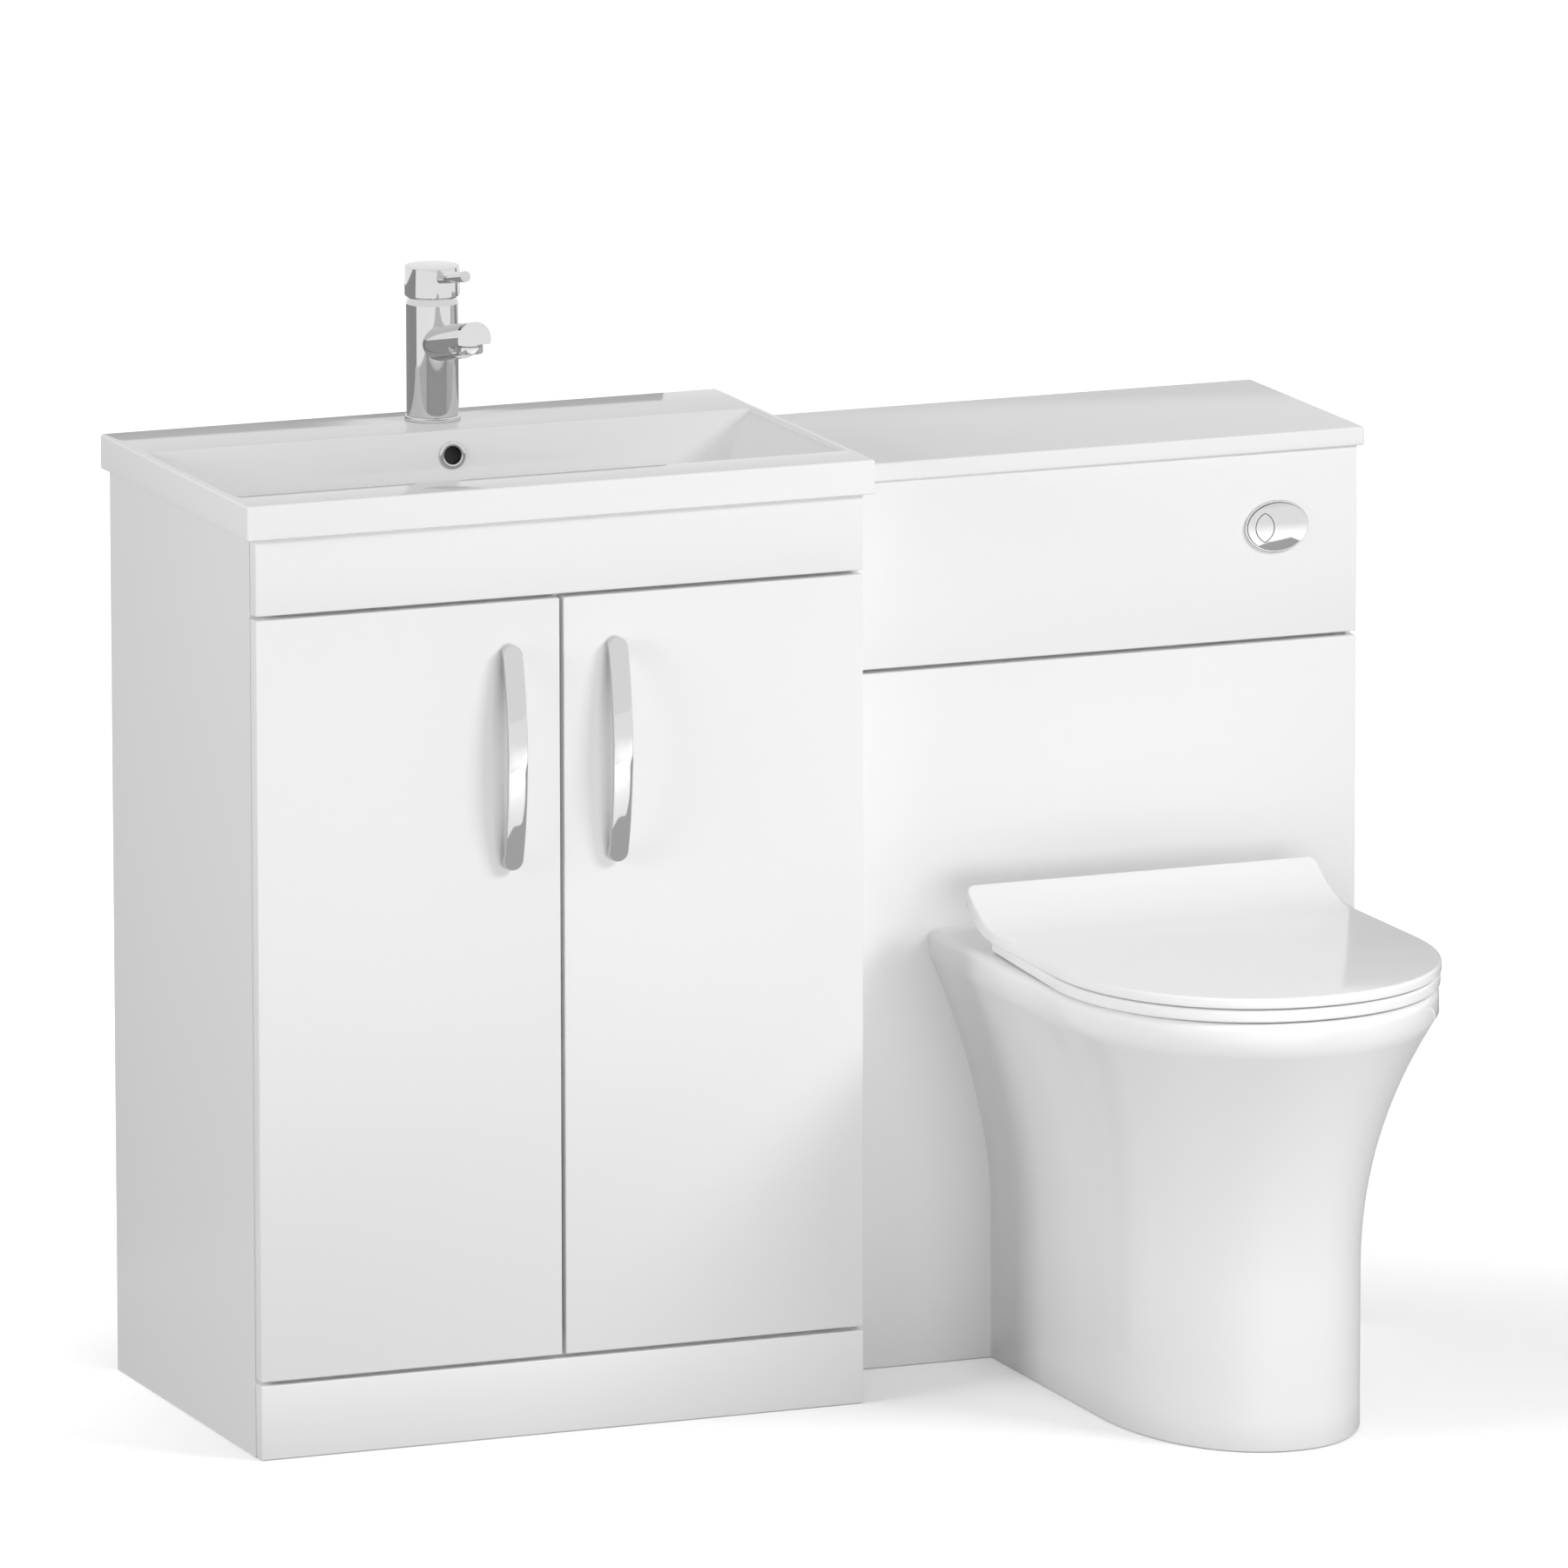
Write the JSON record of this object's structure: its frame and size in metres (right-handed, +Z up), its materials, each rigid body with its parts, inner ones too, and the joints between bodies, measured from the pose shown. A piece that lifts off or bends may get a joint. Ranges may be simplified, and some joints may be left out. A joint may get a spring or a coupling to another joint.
{
  "type": "toilet and basin combination unit",
  "caption": "White fitted run: basin cabinet with trough basin, mixer tap and two doors, joined to a boxed-in cistern with oval flush button and a back-to-wall pan with seat and lid.",
  "frame": {"origin": "on the floor, under the middle of the whole unit", "axes": "+X along the wall to the right as seen from the room, +Y into the wall, +Z up"},
  "size_m": [1.169, 0.783, 1.0502],
  "materials": {
    "white_front": "white gloss lacquer on fibreboard",
    "white_board": "white satin melamine on chipboard",
    "worktop_board": "white gloss laminate",
    "softwood": "planed softwood",
    "ceramic": "white gloss glaze",
    "seat_white": "white gloss thermoset",
    "white_plastic": "white moulded",
    "grey_plastic": "grey moulded",
    "rubber": "matt",
    "chrome": "polished",
    "brass": "machined",
    "steel": "zinc plated"
  },
  "bodies": {
    "run": {"basin_side_left": "white_board", "basin_side_right": "white_board", "basin_floor_panel": "white_board", "basin_rails": "white_board", "basin_plinth": "white_front", "fascia_panel": "white_front", "shelf": "white_board", "shelf_pins": "steel", "hinge_arms": "steel", "basin": "ceramic", "overflow_ring": "chrome", "tap_base_ring": "chrome", "tap_body": "chrome", "tap_aerator": "chrome", "tap_cartridge": "grey_plastic", "tap_fixings": "steel", "waste_body": "chrome", "waste_nut": "grey_plastic", "bottle_trap": "white_plastic", "trap_cup": "white_plastic", "trap_outlet": "white_plastic", "infill_strip": "white_front", "link_battens": "softwood", "wc_sides": "white_board", "wc_rails": "white_board", "wc_front_lower": "white_front", "wc_front_upper": "white_front", "worktop": "worktop_board", "cistern_bearer": "white_board", "cistern_tank": "white_plastic", "cistern_lid": "white_plastic", "fill_valve": "grey_plastic", "flush_valve": "grey_plastic", "valve_nuts": "grey_plastic", "flush_pipe": "white_plastic", "flush_cone": "rubber", "pan_connector": "white_plastic", "button_bezel": "chrome", "pan": "ceramic", "pan_fixings": "steel", "seat_hinges": "chrome"},
    "left_door": {"door_left": "white_front", "handle_left": "chrome", "handle_screws_left": "steel", "hinge_cups_left": "steel"},
    "right_door": {"door_right": "white_front", "handle_right": "chrome", "handle_screws_right": "steel", "hinge_cups_right": "steel"},
    "tap_head": {"tap_turret": "brass"},
    "tap_cap": {"tap_lever": "chrome"},
    "basin_plug": {"waste_plug": "chrome"},
    "cistern_float": {"float_cup": "white_plastic"},
    "full_flush": {"button_full": "chrome"},
    "half_flush": {"button_half": "chrome"},
    "lift_tube": {"valve_tube": "white_plastic"},
    "ring": {"seat_ring": "seat_white", "seat_buffers": "rubber"},
    "lid": {"seat_lid": "seat_white", "lid_buffers": "rubber"}
  },
  "joints": [
    {"name": "left_door_hinge", "type": "hinge", "parent": "run", "child": "left_door", "pos_m": [-0.5745, 0.0015, 0.4315], "axis": [0, 0, -1], "range_deg": [0, 110]},
    {"name": "right_door_hinge", "type": "hinge", "parent": "run", "child": "right_door", "pos_m": [0.0245, 0.0015, 0.4315], "axis": [0, 0, 1], "range_deg": [0, 110]},
    {"name": "tap_turn", "type": "hinge", "parent": "run", "child": "tap_head", "pos_m": [-0.27, 0.3455, 1.0136], "axis": [0, 0, 1], "range_deg": [-45, 45]},
    {"name": "tap_lift", "type": "hinge", "parent": "tap_head", "child": "tap_cap", "pos_m": [-0.27, 0.365, 1.0198], "axis": [-1, 0, 0], "range_deg": [0, 14]},
    {"name": "plug_lift", "type": "slide", "parent": "run", "child": "basin_plug", "axis": [0, 0, 1], "range_m": [0, 0.008]},
    {"name": "float_rise", "type": "slide", "parent": "run", "child": "cistern_float", "axis": [0, 0, 1], "range_m": [0, 0.06]},
    {"name": "press_full", "type": "slide", "parent": "run", "child": "full_flush", "axis": [0, 1, 0], "range_m": [0, 0.004], "stiffness_N_per_m": 500},
    {"name": "press_half", "type": "slide", "parent": "run", "child": "half_flush", "axis": [0, 1, 0], "range_m": [0, 0.004], "stiffness_N_per_m": 500},
    {"name": "tube_lift", "type": "slide", "parent": "run", "child": "lift_tube", "axis": [0, 0, 1], "range_m": [0, 0.012]},
    {"name": "ring_hinge", "type": "hinge", "parent": "run", "child": "ring", "pos_m": [0.324, 0.0395, 0.44], "axis": [1, 0, 0], "range_deg": [-95, 0]},
    {"name": "lid_hinge", "type": "hinge", "parent": "ring", "child": "lid", "pos_m": [0.324, 0.0395, 0.44], "axis": [-1, 0, 0], "range_deg": [0, 98]}
  ],
  "couplings": [
    {"joint": "tube_lift", "follows": "press_full", "ratio": 3}
  ]
}
